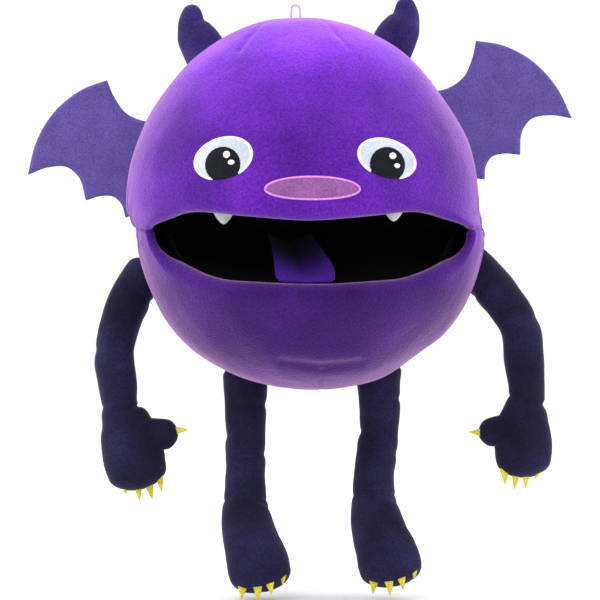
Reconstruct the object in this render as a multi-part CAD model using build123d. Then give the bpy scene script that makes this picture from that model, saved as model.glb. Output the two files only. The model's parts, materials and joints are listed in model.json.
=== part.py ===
from build123d import *
import os
from math import cos, radians, sin, sqrt, tan

# A moving mouth puppet: a round plush body that opens across its middle, worn over one hand
# from behind.  Millimetres.  Everything is modelled about the middle of the round body, with
# the face towards -Y and +Z up, and HOME then carries it so that the origin is the middle of
# the hand opening's outer rim.  "left" is the -X side, "right" the +X side.

# Round body: a ball a little taller than wide, in plush over stuffing over lining
BALL_R = 105.5
BALL_HALF_H = 111.0
BALL_MID_Z = 5.0
SKIN_T = 3.0
WADDING_OUT = 3.2
WADDING_IN = 15.0
LINING_OUT = 15.2
LINING_IN = 16.4
PANEL_SEAM_Y = 6.0
NAPE_SEAM_Z = 34.0

# Mouth: angles are in degrees below level, measured about the fold that joins both palates
HINGE_Y = -12.0
HINGE_Z = -9.6
UPPER_LIP = -3.0
LOWER_LIP = 22.5
JAW_BACK = 80.0
REAR_FRONT = 104.0
SEAM_GAP = 0.3
FOLD_R = 2.7
FOLD_CLEAR = 3.0
PALATE_CLOTH = (3.0, 4.0)
PALATE_BOARD = (4.2, 5.7)
POCKET_START = 6.0
POCKET_WALL = 1.5
POCKET_ROUNDING = 0.4
FINGER_POCKET = (84.0, 57.0, 28.0)
FINGER_POCKET_BACK = 4.0
THUMB_POCKET = (36.0, 54.0, 24.0)
THUMB_POCKET_BACK = 6.0

# Hand opening
CUFF_R = 40.0
CUFF_WALL = 3.0
CUFF_LENGTH = 22.0
CUFF_END_Y = 98.0
CUFF_Z = -18.0
CUFF_CLEAR = 0.2

# Face
EYE_X = 46.2
EYE_Z = 28.0
EYE_HALF = (17.1, 11.8)
EYE_TILT = 15.0
PUPIL_R = 10.2
PUPIL_DROP = 3.6
GLINTS = ((2.2, 1.8, 2.1), (4.8, -3.0, 1.8))
EYE_PROUD = 1.0
PUPIL_PROUD = 1.6
GLINT_PROUD = 2.0
NOSE_X = 3.4
NOSE_Z = 9.9
NOSE_HALF = (27.3, 7.4)
NOSE_FLAT = 1.0
NOSE_PROUD = 1.4
RIM_W = 1.4
RIM_PROUD = 1.8
FANG_X = (-47.0, 49.8)
FANG_HALF_W = 4.8
FANG_LENGTH = 6.0
FANG_REACH = 90.0
FANG_LAYER = (0.6, 2.1)

# Trim on the body
HORN_BASE = {"left": (62.7, 98.1), "right": (54.0, 102.3)}
HORN_STEPS = ((-4.0, -8.0, 13.2), (0.0, 0.0, 12.6), (6.7, 11.5, 8.8), (5.6, 20.0, 5.6), (4.2, 24.6, 2.8))
HORN_SKIN = 1.2
WING_Y = 45.0
WING_T = 2.0
WING_TOP_Z = {"left": 56.4, "right": 72.6}
WING_BOTTOM_Z = {"left": -0.6, "right": 20.4}
WING_SEAM_CLEAR = 1.6
WING_SEAM_V = (-31.0, 24.0)
WING_TIP = (45.5, 42.3)
WING_OUTER_CORNER = (79.4, -25.8)
WING_INNER_CORNER = (41.5, -32.9)
WING_FOOT = (15.3, -37.7)
WING_VIA = {"inner": (29.9, 25.5), "outer": (71.7, 17.5), "first": (56.9, -15.7), "second": (25.2, -26.9)}
LOOP_X = -6.3
LOOP_R = 2.5
LOOP_CORD_R = 0.75
LOOP_LEG = 4.6
LOOP_CLEAR = 1.1

# Tongue, in the lower palate's own plane
TONGUE_HALF_W = 17.5
TONGUE_BACK = 17.7
TONGUE_FRONT = 79.0
TONGUE_LEVELS = (-2.8, -0.8)

# Limbs: joint centres about the middle of the round body
ARM_R = 11.5
FOREARM_R = 11.0
SHOULDER = {"left": (-104.5, 33.0, -41.0), "right": (106.0, 33.0, -40.0)}
ELBOW = {"left": (-116.5, 26.0, -84.0), "right": (130.0, 26.0, -68.0)}
WRIST = {"left": (-112.0, 14.0, -120.0), "right": (133.2, 14.0, -115.0)}
MITT_SCALE = {"left": 1.08, "right": 1.0}
MITT_ROLL = {"left": -12.0, "right": 0.0}
MITT_STEPS = ((0, 0, 11, 11), (11, 1.5, 15.5, 11.5), (24, 3, 17.5, 12), (36, 3.5, 16, 11), (43, 4, 10.5, 7))
THUMB_START = (6.0, 0.0, -20.0)
THUMB_END = (21.0, -1.0, -17.0)
THUMB_R = 7.8
FINGER_CLAWS = ((-6.6, 43.0), (0.6, 48.0), (7.4, 48.6), (13.6, 45.6))
FINGER_CLAW_Y = -4.0
FINGER_CLAW_FAN = 0.02
FINGER_CLAW_LEAN = (-0.15, -1)
THUMB_CLAW = (5.0, -2.0, -0.5)
LEG_R = 12.0
SHIN_R = 11.8
ANKLE_R = 12.4
HIP = {"left": (-37.0, 29.5, -107.9), "right": (44.5, 29.5, -104.8)}
KNEE = {"left": (-36.8, 29.0, -142.0), "right": (42.6, 29.0, -140.0)}
ANKLE = {"left": (-37.0, 27.0, -176.0), "right": (41.4, 27.0, -172.8)}
FOOT_AXIS = (0.185, -0.565, -0.804)
FOOT_STEPS = ((0, 12.4, 12.4), (14, 14.8, 14.0), (28, 16.6, 16.0), (46, 18.6, 15.0), (57, 13.5, 10.0))
TOE_CLAWS = ((-2.0, -38.0, -54.5), (8.0, -41.0, -55.5), (15.8, -40.0, -52.0), (23.5, -36.0, -46.5))
TOE_CLAW_FAN = 0.012
TOE_CLAW_LEAN = (-0.5, -0.85)
TOE_CLAW_MIDDLE = 9.0
CLAW_R = 2.6
CLAW_TIP_R = 0.5
CLAW_LENGTH = 13.0
JOINT_GAP = 0.35
ELBOW_BEND = 82.0
WRIST_BEND = 68.0
KNEE_BEND = 72.0
ANKLE_BEND = 72.0
BEND_CLEAR = 1.2

FAR = 260.0
HOME = Pos(0, -CUFF_END_Y, -CUFF_Z)
SIDES = {"left": -1, "right": 1}
UPPER = Pos(0, HINGE_Y, HINGE_Z) * Rot(UPPER_LIP, 0, 0)
LOWER = Pos(0, HINGE_Y, HINGE_Z) * Rot(LOWER_LIP, 0, 0)


# ---------------------------------------------------------------- shared shapes

def ball(inset=0.0):
    """The round body, a little taller than wide, moved in by inset."""
    half_h = BALL_HALF_H - inset
    side = EllipticalCenterArc((0, BALL_MID_Z), BALL_R - inset, half_h, 270, arc_size=180)
    spine = Line((0, BALL_MID_Z + half_h), (0, BALL_MID_Z - half_h))
    return revolve(Plane.YZ * make_face([side, spine]), Axis.Z)


def shell(outer, inner):
    """The layer of the round body between two insets."""
    return ball(outer) - ball(inner)


def block(x_span, y_span, z_span):
    """A box given by its lowest and highest corner on each axis."""
    size = [high - low for low, high in (x_span, y_span, z_span)]
    middle = [(high + low) / 2 for low, high in (x_span, y_span, z_span)]
    return Pos(*middle) * Box(*size)


def ray(angle, reach, start=(HINGE_Y, HINGE_Z)):
    """A side-view point, reach away from start at angle degrees below level."""
    return (start[0] - reach * cos(radians(angle)), start[1] - reach * sin(radians(angle)))


def wedge(first, last, grow=0.0):
    """The block between two angles about the mouth hinge, each face moved out by grow."""
    middle = (first + last) / 2
    tip = ray(middle, -grow / sin(radians(last - first) / 2))
    corners = [tip, ray(first, FAR, tip), ray(middle, FAR, tip), ray(last, FAR, tip)]
    return extrude(Plane.YZ * make_face(Polyline(*corners, close=True)), FAR, both=True)


def hinge_rod(radius):
    """A round bar along the mouth hinge."""
    return Pos(0, HINGE_Y, HINGE_Z) * Rot(0, 90, 0) * Cylinder(radius, 2 * FAR)


def hand_bore(radius, first_y, last_y):
    """A round bar along the hand opening."""
    middle = (first_y + last_y) / 2
    return Pos(0, middle, CUFF_Z) * Rot(90, 0, 0) * Cylinder(radius, last_y - first_y)


def tube(start, end, start_r, end_r, short=0.0):
    """A tapered stuffed tube from start towards end, stopped short of it."""
    run = Vector(*end) - Vector(*start)
    length = run.length - short
    stop_r = start_r + (end_r - start_r) * length / run.length
    cone = Cone(start_r, stop_r, length, align=(Align.CENTER, Align.CENTER, Align.MIN))
    return Plane(origin=start, z_dir=run) * cone


def knob(centre, radius):
    """A round end at a joint."""
    return Pos(*centre) * Sphere(radius)


def bend_room(radius, bend):
    """How far short of a joint a tube stops so that the next one can bend by bend degrees."""
    return radius * tan(radians(bend) / 2) + BEND_CLEAR


def claw(tip, direction):
    """A pointed felt claw whose root is buried in what it is sewn to."""
    way = Vector(*direction).normalized()
    root = Vector(*tip) - way * CLAW_LENGTH
    return tube(tuple(root), tip, CLAW_R, CLAW_TIP_R)


def through_face(outline):
    """A front-view outline carried through the front half of the body."""
    return extrude(Plane.XZ * outline, FAR)


# ---------------------------------------------------------------- round body

def root_skin():
    """The plush skin of everything but the jaw and the belly gusset."""
    skin = shell(0, SKIN_T) - wedge(UPPER_LIP, REAR_FRONT) - hinge_rod(FOLD_CLEAR)
    return skin - hand_bore(CUFF_R + CUFF_WALL + CUFF_CLEAR, 0, FAR)


def root_wadding():
    """The stuffing layer between skin and lining, set back from both lips."""
    layer = shell(WADDING_OUT, WADDING_IN) - wedge(UPPER_LIP, REAR_FRONT, POCKET_START)
    return layer - hand_bore(CUFF_R + CUFF_WALL + CUFF_CLEAR, 0, FAR)


def front_half():
    return block((-FAR, FAR), (-FAR, PANEL_SEAM_Y), (-FAR, FAR))


def back_half(low_z=-FAR, high_z=FAR):
    return block((-FAR, FAR), (PANEL_SEAM_Y, FAR), (low_z, high_z))


def body_parts():
    skin = root_skin()
    wadding = root_wadding()
    lining = shell(LINING_OUT, LINING_IN) - wedge(UPPER_LIP, REAR_FRONT, POCKET_START)
    gusset = shell(0, SKIN_T) & wedge(JAW_BACK + SEAM_GAP, REAR_FRONT - SEAM_GAP)
    return {
        "face_panel": skin & front_half(),
        "nape_panel": skin & back_half(low_z=NAPE_SEAM_Z),
        "rear_panel": skin & back_half(high_z=NAPE_SEAM_Z),
        "head_wadding": wadding & front_half(),
        "rear_wadding": wadding & back_half(),
        "cavity_lining": lining - hand_bore(CUFF_R + CUFF_WALL + CUFF_CLEAR, 0, FAR),
        "belly_gusset": gusset - hinge_rod(FOLD_CLEAR),
    }


def cuff():
    """The bound ring that the hand goes through."""
    start = CUFF_END_Y - CUFF_LENGTH
    outer = hand_bore(CUFF_R + CUFF_WALL, start, CUFF_END_Y)
    return outer - hand_bore(CUFF_R, start, CUFF_END_Y)


# ---------------------------------------------------------------- mouth

def palate_layer(levels, inset, side):
    """A layer of a palate, in its own plane; side is 1 above the mouth and -1 below it."""
    low, high = sorted(side * level for level in levels)
    plane = UPPER if side > 0 else LOWER
    return (plane * block((-FAR, FAR), (-FAR, -SEAM_GAP), (low, high))) & ball(inset)


def pocket(size, back, side):
    """A soft tunnel on a palate board, open at the back and closed at the front."""
    width, length, height = size
    outer = Rectangle(width, height)
    outer = fillet(outer.vertices(), height * POCKET_ROUNDING)
    inner = Rectangle(width - 2 * POCKET_WALL, height - 2 * POCKET_WALL)
    inner = fillet(inner.vertices(), height * POCKET_ROUNDING - POCKET_WALL)
    lift = side * (POCKET_START + height / 2)
    tunnel = Pos(0, -back, lift) * extrude(Plane.XZ * outer, length)
    hollow = Pos(0, -back, lift) * extrude(Plane.XZ * inner, length - POCKET_WALL)
    plane = UPPER if side > 0 else LOWER
    return plane * (tunnel - hollow)


def mouth_parts():
    jaw = wedge(LOWER_LIP, JAW_BACK)
    jaw_core = wedge(LOWER_LIP, JAW_BACK, -POCKET_START)
    return {
        "mouth_fold": hinge_rod(FOLD_R) & ball(),
        "palate_lining_upper": palate_layer(PALATE_CLOTH, WADDING_OUT, 1),
        "palate_board_upper": palate_layer(PALATE_BOARD, 2 * SKIN_T, 1),
        "finger_pocket": pocket(FINGER_POCKET, FINGER_POCKET_BACK, 1),
        "chin_panel": (shell(0, SKIN_T) & jaw) - hinge_rod(FOLD_CLEAR),
        "jaw_wadding": shell(WADDING_OUT, WADDING_IN) & jaw_core,
        "jaw_lining": shell(LINING_OUT, LINING_IN) & jaw_core,
        "palate_lining_lower": palate_layer(PALATE_CLOTH, WADDING_OUT, -1),
        "palate_board_lower": palate_layer(PALATE_BOARD, 2 * SKIN_T, -1),
        "thumb_pocket": pocket(THUMB_POCKET, THUMB_POCKET_BACK, -1),
        "tongue": tongue(),
    }


def tongue():
    """A flat felt tongue with a rounded end, lying on the lower palate."""
    low, high = TONGUE_LEVELS
    root = TONGUE_FRONT - TONGUE_HALF_W
    strip = block((-TONGUE_HALF_W, TONGUE_HALF_W), (-root, -TONGUE_BACK), (low, high))
    tip = Pos(0, -root, (low + high) / 2) * Cylinder(TONGUE_HALF_W, high - low)
    return LOWER * (strip + tip)


# ---------------------------------------------------------------- face

def eye_outline(side):
    width, height = EYE_HALF
    return Pos(side * EYE_X, EYE_Z) * Rot(0, 0, -side * EYE_TILT) * Ellipse(width, height)


def pupil_outline(side):
    disc = Pos(side * EYE_X, EYE_Z - PUPIL_DROP) * Circle(PUPIL_R)
    return disc & eye_outline(side)


def glint_outlines(side):
    """Two round glints, both towards +X of the pupil's middle."""
    return [Pos(side * EYE_X + over, EYE_Z + up) * Circle(radius) for over, up, radius in GLINTS]


def nose_outline(grow=0.0):
    """A wide oval with a flatter lower edge."""
    width, height = NOSE_HALF
    oval = Ellipse(width + grow, height + NOSE_FLAT + grow)
    flat = Pos(0, NOSE_FLAT) * Rectangle(2 * (width + grow), 2 * (height + grow))
    return Pos(NOSE_X, NOSE_Z) * (oval & flat)


def fang(x):
    """A felt fang that hangs from the upper lip's edge, in front of the lower lip."""
    top = FANG_LENGTH
    sides = Polyline((x - FANG_HALF_W, top), (x + FANG_HALF_W, top), (x, -FANG_LENGTH), close=True)
    lip_z = HINGE_Z - FANG_REACH * sin(radians(UPPER_LIP))
    prism = through_face(Pos(0, lip_z) * make_face(sides))
    below_lip = UPPER * block((-FAR, FAR), (-FAR, FAR), (-FAR, 0))
    return shell(*FANG_LAYER) & prism & below_lip


def face_parts():
    parts = {}
    glints = []
    for name, side in SIDES.items():
        parts[f"eye_white_{name}"] = shell(-EYE_PROUD, 0) & through_face(eye_outline(side))
        parts[f"pupil_{name}"] = shell(-PUPIL_PROUD, -EYE_PROUD) & through_face(pupil_outline(side))
        for outline in glint_outlines(side):
            glints.append(shell(-GLINT_PROUD, -PUPIL_PROUD) & through_face(outline))
    parts["eye_glints"] = Compound([solid for glint in glints for solid in glint.solids()])
    parts["nose_patch"] = shell(-NOSE_PROUD, 0) & through_face(nose_outline())
    parts["nose_rim"] = shell(-RIM_PROUD, 0) & through_face(nose_outline(RIM_W) - nose_outline())
    for name, x in zip(SIDES, FANG_X):
        parts[f"fang_{name}"] = fang(x)
    return parts


# ---------------------------------------------------------------- horns, wings and loop

def horn_solid(name, inset):
    """A short horn that leans out and turns up, from rings set square to its bent centre line."""
    side = SIDES[name]
    base_x, base_z = HORN_BASE[name]
    points = [Vector(side * (base_x + out), 0, base_z + up) for out, up, _ in HORN_STEPS]
    rings = []
    for number, (_, _, radius) in enumerate(HORN_STEPS):
        before = points[max(number - 1, 0)]
        after = points[min(number + 1, len(points) - 1)]
        rings.append(Plane(origin=points[number], z_dir=after - before) * Circle(radius - inset))
    tip_r = HORN_STEPS[-1][2] - inset
    return (loft(rings) + knob(tuple(points[-1]), tip_r)) - ball()


def horn_parts():
    parts = {}
    for name in SIDES:
        core = horn_solid(name, HORN_SKIN)
        parts[f"horn_{name}"] = horn_solid(name, 0) - core
        parts[f"horn_stuffing_{name}"] = core
    return parts


def wing_seam(name):
    """The wing's sewn edge: its middle and its upward direction, in the front view."""
    ends = []
    for z in (WING_BOTTOM_Z[name], WING_TOP_Z[name]):
        level_r = BALL_R * sqrt(1 - ((z - BALL_MID_Z) / BALL_HALF_H) ** 2)
        ends.append(Vector(sqrt(level_r ** 2 - WING_Y ** 2), 0, z))
    return (ends[0] + ends[1]) / 2, (ends[1] - ends[0]).normalized()


def wing_bulge(name):
    """How far the body stands proud of the sewn edge's chord."""
    middle, up = wing_seam(name)
    section_r = sqrt(BALL_R ** 2 - WING_Y ** 2)
    half_chord = (WING_TOP_Z[name] - WING_BOTTOM_Z[name]) / (2 * up.Z)
    return half_chord ** 2 / (2 * section_r)


def wing(name):
    """A bat wing of felt: a pointed top and three scallops, as one flat piece."""
    start = wing_bulge(name) + WING_SEAM_CLEAR
    seam_low, seam_high = [(start, v) for v in WING_SEAM_V]
    edges = [
        ThreePointArc(seam_high, WING_VIA["inner"], WING_TIP),
        ThreePointArc(WING_TIP, WING_VIA["outer"], WING_OUTER_CORNER),
        ThreePointArc(WING_OUTER_CORNER, WING_VIA["first"], WING_INNER_CORNER),
        ThreePointArc(WING_INNER_CORNER, WING_VIA["second"], WING_FOOT),
        Line(WING_FOOT, seam_low),
        Line(seam_low, seam_high),
    ]
    middle, up = wing_seam(name)
    side = SIDES[name]
    out = Vector(side * up.Z, 0, up.X * -1)
    rise = Vector(side * up.X, 0, up.Z)
    centre = Vector(side * middle.X, WING_Y, middle.Z)
    plane = Plane(origin=centre, x_dir=out, z_dir=out.cross(rise))
    return extrude(plane * make_face(edges), WING_T / 2, both=True)


def hanging_loop():
    """A small cord loop sewn into the crown, wide enough for a hook's tip."""
    pivot_z = BALL_MID_Z + BALL_HALF_H + LOOP_CLEAR
    foot = Pos(LOOP_X - LOOP_R, 0, pivot_z)
    other_foot = Pos(LOOP_X + LOOP_R, 0, pivot_z)
    leg = Cylinder(LOOP_CORD_R, LOOP_LEG, align=(Align.CENTER, Align.CENTER, Align.MIN))
    bow = Rot(90, 0, 0) * Torus(LOOP_R, LOOP_CORD_R)
    top = Pos(LOOP_X, 0, pivot_z + LOOP_LEG)
    upper_half = block((-FAR, FAR), (-FAR, FAR), (pivot_z + LOOP_LEG, FAR))
    return foot * leg + other_foot * leg + ((top * bow) & upper_half)


# ---------------------------------------------------------------- arms and legs

def mitt_claws(scale):
    """Four finger claws and one thumb claw, still buried in the mitt."""
    fingers = []
    for tip_x, drop in FINGER_CLAWS:
        tip = (scale * tip_x, FINGER_CLAW_Y, -scale * drop)
        fingers.append(claw(tip, (FINGER_CLAW_FAN * tip_x, *FINGER_CLAW_LEAN)))
    out, front, up = THUMB_CLAW
    thumb_tip = (THUMB_END[0] + THUMB_R + out, front, THUMB_END[2] + up)
    return fingers, claw(tuple(scale * part for part in thumb_tip), (1, 0, 0))


def mitt(scale):
    """A thumbed mitt hanging from its wrist at the origin, thumb towards +X."""
    rings = []
    for drop, over, width, depth in MITT_STEPS:
        centre = (scale * over, 0, -scale * drop)
        rings.append(Pos(*centre) * Ellipse(scale * width, scale * depth))
    thumb_start = tuple(scale * part for part in THUMB_START)
    thumb_end = tuple(scale * part for part in THUMB_END)
    thumb = tube(thumb_start, thumb_end, scale * (THUMB_R + 0.4), scale * THUMB_R)
    palm = loft(rings) + knob((0, 0, 0), FOREARM_R)
    return palm + thumb + knob(thumb_end, scale * THUMB_R)


def arm_parts(name):
    """Shoulder, upper arm, forearm and mitt of one arm."""
    shoulder = SHOULDER[name]
    elbow = ELBOW[name]
    wrist = WRIST[name]
    upper = tube(shoulder, elbow, ARM_R, FOREARM_R, bend_room(ARM_R, ELBOW_BEND))
    fore = tube(elbow, wrist, FOREARM_R, FOREARM_R - 0.2, bend_room(FOREARM_R, WRIST_BEND))
    scale = MITT_SCALE[name]
    hand = mitt(scale)
    fingers, thumb = mitt_claws(scale)
    pose = Pos(*wrist) * Rot(0, MITT_ROLL[name], 0)
    flip = name == "right"
    pieces = {
        "mitt": hand,
        "finger_claws": Compound([piece - hand for piece in fingers]),
        "thumb_claw": thumb - hand,
    }
    placed = {}
    for piece_name, piece in pieces.items():
        turned = mirror(piece, about=Plane.YZ) if flip else piece
        placed[f"{piece_name}_{name}"] = pose * turned
    placed[f"shoulder_{name}"] = knob(shoulder, ARM_R)
    placed[f"upper_arm_{name}"] = (
        upper - knob(shoulder, ARM_R + JOINT_GAP) - knob(elbow, FOREARM_R + JOINT_GAP)
    )
    placed[f"forearm_{name}"] = (fore + knob(elbow, FOREARM_R)) - knob(wrist, FOREARM_R + JOINT_GAP)
    return placed


def foot():
    """A stuffed foot below its ankle at the origin, its toes forward and down."""
    axis = Vector(*FOOT_AXIS).normalized()
    across = (Vector(1, 0, 0) - axis * axis.X).normalized()
    rings = []
    for reach, width, depth in FOOT_STEPS:
        rings.append(Plane(origin=axis * reach, x_dir=across, z_dir=axis) * Ellipse(width, depth))
    return loft(rings) + knob((0, 0, 0), ANKLE_R)


def leg_parts(name):
    """Thigh, shin and foot of one leg."""
    hip = HIP[name]
    knee = KNEE[name]
    ankle = ANKLE[name]
    thigh = tube(hip, knee, LEG_R, LEG_R - 0.1, bend_room(LEG_R, KNEE_BEND)) + knob(hip, LEG_R)
    shin = tube(knee, ankle, SHIN_R, SHIN_R + 0.4, bend_room(SHIN_R, ANKLE_BEND)) + knob(knee, SHIN_R)
    toes = []
    for tip in TOE_CLAWS:
        toes.append(claw(tip, (TOE_CLAW_FAN * (tip[0] - TOE_CLAW_MIDDLE), *TOE_CLAW_LEAN)))
    sole = foot()
    return {
        f"thigh_{name}": thigh - knob(knee, SHIN_R + JOINT_GAP),
        f"shin_{name}": shin - knob(ankle, ANKLE_R + JOINT_GAP),
        f"foot_{name}": Pos(*ankle) * sole,
        f"toe_claws_{name}": Pos(*ankle) * Compound([toe - sole for toe in toes]),
    }


# ---------------------------------------------------------------- the whole puppet

def puppet():
    parts = body_parts()
    parts["hand_cuff"] = cuff()
    parts.update(mouth_parts())
    parts.update(face_parts())
    parts.update(horn_parts())
    parts["hanging_loop"] = hanging_loop()
    for name in SIDES:
        parts[f"wing_{name}"] = wing(name)
        parts.update(arm_parts(name))
        parts.update(leg_parts(name))
    return parts


os.makedirs("parts", exist_ok=True)
for part_name, part in puppet().items():
    solids = (HOME * part).solids()
    export_step(solids[0] if len(solids) == 1 else Compound(solids), f"parts/{part_name}.step")
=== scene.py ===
import json
import math
from math import cos, pi, radians, sin, sqrt

import bmesh
import bpy
import numpy as np
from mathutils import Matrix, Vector, noise
from mathutils.bvhtree import BVHTree
from mathutils.geometry import delaunay_2d_cdt


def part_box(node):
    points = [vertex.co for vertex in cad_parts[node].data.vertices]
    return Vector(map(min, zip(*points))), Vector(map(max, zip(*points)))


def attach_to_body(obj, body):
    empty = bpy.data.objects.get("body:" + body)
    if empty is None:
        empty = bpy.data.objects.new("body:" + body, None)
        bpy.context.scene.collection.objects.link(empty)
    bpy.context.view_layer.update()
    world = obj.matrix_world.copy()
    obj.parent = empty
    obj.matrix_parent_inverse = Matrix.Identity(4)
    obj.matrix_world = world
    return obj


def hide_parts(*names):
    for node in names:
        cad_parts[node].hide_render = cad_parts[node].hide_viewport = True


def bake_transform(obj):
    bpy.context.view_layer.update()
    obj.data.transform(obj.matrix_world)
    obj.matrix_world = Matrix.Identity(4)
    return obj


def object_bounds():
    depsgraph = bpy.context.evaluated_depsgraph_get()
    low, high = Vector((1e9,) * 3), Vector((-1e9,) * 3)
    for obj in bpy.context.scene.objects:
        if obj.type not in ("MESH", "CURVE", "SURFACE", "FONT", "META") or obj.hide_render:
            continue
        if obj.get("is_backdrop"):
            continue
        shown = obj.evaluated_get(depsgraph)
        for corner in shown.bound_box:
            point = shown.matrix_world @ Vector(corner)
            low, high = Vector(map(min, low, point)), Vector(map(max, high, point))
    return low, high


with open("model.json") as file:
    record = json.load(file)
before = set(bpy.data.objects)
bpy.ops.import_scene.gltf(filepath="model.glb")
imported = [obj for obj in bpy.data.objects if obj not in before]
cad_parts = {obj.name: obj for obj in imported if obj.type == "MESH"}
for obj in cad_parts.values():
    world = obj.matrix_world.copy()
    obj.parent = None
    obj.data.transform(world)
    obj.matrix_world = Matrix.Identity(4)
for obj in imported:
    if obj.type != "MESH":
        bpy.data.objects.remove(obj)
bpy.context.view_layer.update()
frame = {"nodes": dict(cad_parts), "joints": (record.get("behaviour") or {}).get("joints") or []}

MM = 0.001
SIDES = {"left": -1, "right": 1}
scene = bpy.context.scene

# ---------------------------------------------------------------- the frame's own sizes


def joint(name):
    """Where a joint turns, at rest."""
    found = [j for j in frame["joints"] if j["name"] == name]
    return Vector(found[0]["pos_m"])


def joint_axis(name):
    found = [j for j in frame["joints"] if j["name"] == name]
    return Vector(found[0]["axis"])


FACE_LOW, FACE_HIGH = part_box("face_panel")
TOP_Z = max(FACE_HIGH.z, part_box("nape_panel")[1].z)
BOTTOM_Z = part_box("belly_gusset")[0].z
BALL_R = (FACE_HIGH.x - FACE_LOW.x) / 2
BALL_H = (TOP_Z - BOTTOM_Z) / 2
CENTRE = Vector((0, FACE_LOW.y + BALL_R, (TOP_Z + BOTTOM_Z) / 2))
HINGE = joint("jaw_open")

# ---------------------------------------------------------------- the ball's shape

UPPER_LIP = radians(-3.0)
LOWER_LIP = radians(22.5)
LIP_R = 6.4 * MM
CORNER_R = 2.8 * MM
SEAM_R = 1.2 * MM
LIP_TURN = radians(215)
LOWER_POWER = 2.25
UPPER_POWER = 2.0
SWAY_UP = -1.8 * MM
SWAY_DOWN = 2.9 * MM
SWAY_DEPTH = 22 * MM
OPENING_R = 43.5 * MM
SKIN_COLUMNS = 540
SKIN_ROWS = {True: 150, False: 120}
PINCH_AHEAD = 32 * MM
PINCH_DROP = 2.6 * MM
PINCH_FROM = {True: 70 * MM, False: 83.5 * MM}
PINCH_RUN = {True: 26 * MM, False: 12.8 * MM}
# size, height and seed of the lumps in the plush
LUMPS = ((48, 0.9, 3.1), (20, 0.45, 7.7))
CORNER_PUCKERS = 9


def smoothstep(value):
    value = np.clip(value, 0, 1)
    return value * value * (3 - 2 * value)


def bell(distance, width):
    return np.exp(-((distance / width) ** 2))


def ridge(gap, height, width):
    """A soft ridge at a distance of 0, or a furrow if the height is negative."""
    return height * MM * bell(gap, width * MM)


def sphere_point(lon, lat):
    """Points of the plain ball, longitude 0 at the front and latitude up."""
    rise = np.sin(lat)
    power = np.where(rise < 0, LOWER_POWER, UPPER_POWER)
    ring = np.clip(1 - np.abs(rise) ** power, 0, 1) ** (1 / power)
    x = BALL_R * ring * np.sin(lon)
    y = -BALL_R * ring * np.cos(lon)
    return np.stack([x, y, BALL_H * rise], -1) + np.array(CENTRE)


def sphere_normal(points):
    """Outward direction of the plain ball at points."""
    local = points - np.array(CENTRE)
    slope = local / np.array([BALL_R ** 2, BALL_R ** 2, BALL_H ** 2])
    return slope / np.linalg.norm(slope, axis=-1, keepdims=True)


def sway(points):
    """The jaw sits a little to one side of the head."""
    below = smoothstep((CENTRE.z - points[..., 2]) / SWAY_DEPTH)
    moved = points.copy()
    moved[..., 0] += SWAY_UP + (SWAY_DOWN - SWAY_UP) * below
    return moved


def noise_of(points, size, seed):
    """Smooth noise at each point, about -1 to 1, with lumps of the given size."""
    flat = points.reshape(-1, 3) / size + seed
    values = [noise.noise(p) for p in flat]
    return np.array(values).reshape(points.shape[:-1])


def line_distance(points, line):
    """Distance on the front view from points to a line of places."""
    flat = points[..., [0, 2]]
    best = np.full(points.shape[:-1], 1.0)
    for start, end in zip(line[:-1], line[1:]):
        start = np.array(start)
        run = np.array(end) - start
        along = np.clip(((flat - start) @ run) / (run @ run), 0, 1)
        gap = np.linalg.norm(flat - start - along[..., None] * run, axis=-1)
        best = np.minimum(best, gap)
    return best


def from_centre(x, z):
    """A place on the front view, in millimetres from the ball's middle."""
    return (x * MM, CENTRE.z + z * MM)


DARTS = (
    [from_centre(-22, 106), from_centre(-33, 93), from_centre(-37, 87)],
    [from_centre(13, 107), from_centre(19, 98), from_centre(27, 88)],
)
CHIN_FOLD = [from_centre(-17, -93), from_centre(4, -95.5), from_centre(28, -93.5)]
CHIN_SEAM = [from_centre(6, -98), from_centre(6, -112)]
PANEL_SEAM_Y = CENTRE.y + 6 * MM
NAPE_SEAM_Z = CENTRE.z + 29 * MM
CROWN_Z = CENTRE.z + 62 * MM
FLAT_SPOT = from_centre(64, -92)


def relief(points):
    """How far the plush stands out from the plain ball."""
    front = points[..., 1] < CENTRE.y
    above = points[..., 2] > HINGE.z
    rear = points[..., 1] > PANEL_SEAM_Y
    right = points[..., 0] > 0
    out = sum(height * MM * noise_of(points, size * MM, seed) for size, height, seed in LUMPS)
    for side in SIDES.values():
        away = points - np.array([side * BALL_R, HINGE.y, HINGE.z])
        reach = np.linalg.norm(away, axis=-1)
        turn = np.arctan2(away[..., 2], -away[..., 1])
        pucker = np.cos(turn * CORNER_PUCKERS + side) * smoothstep(reach / (9 * MM))
        out += pucker * ridge(reach, 0.9, 17) + ridge(reach, -2.6, 9)
    for line in DARTS:
        gap = line_distance(points, line)
        stitches = np.sin(points[..., 2] / (1.5 * MM)) * ridge(gap, 0.12, 4)
        out += front * (stitches + ridge(gap, 0.2, 7) + ridge(gap, -0.7, 1.5))
    fold = line_distance(points, CHIN_FOLD)
    out += front * (ridge(fold, 0.9, 11) + ridge(fold, -1.2, 3))
    out += front * ridge(line_distance(points, CHIN_SEAM), -0.7, 1.1)
    out += (1 + 1.3 / 1.2 * right) * ridge(points[..., 2] - CROWN_Z, -1.2, 24)
    flat_spot = np.hypot(points[..., 0] - FLAT_SPOT[0], points[..., 2] - FLAT_SPOT[1])
    out += ridge(flat_spot, -3.0, 20)
    out += above * ridge(points[..., 1] - PANEL_SEAM_Y, -0.9, 1.3)
    out += rear * ridge(points[..., 2] - NAPE_SEAM_Z, -0.9, 1.3)
    return out


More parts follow.
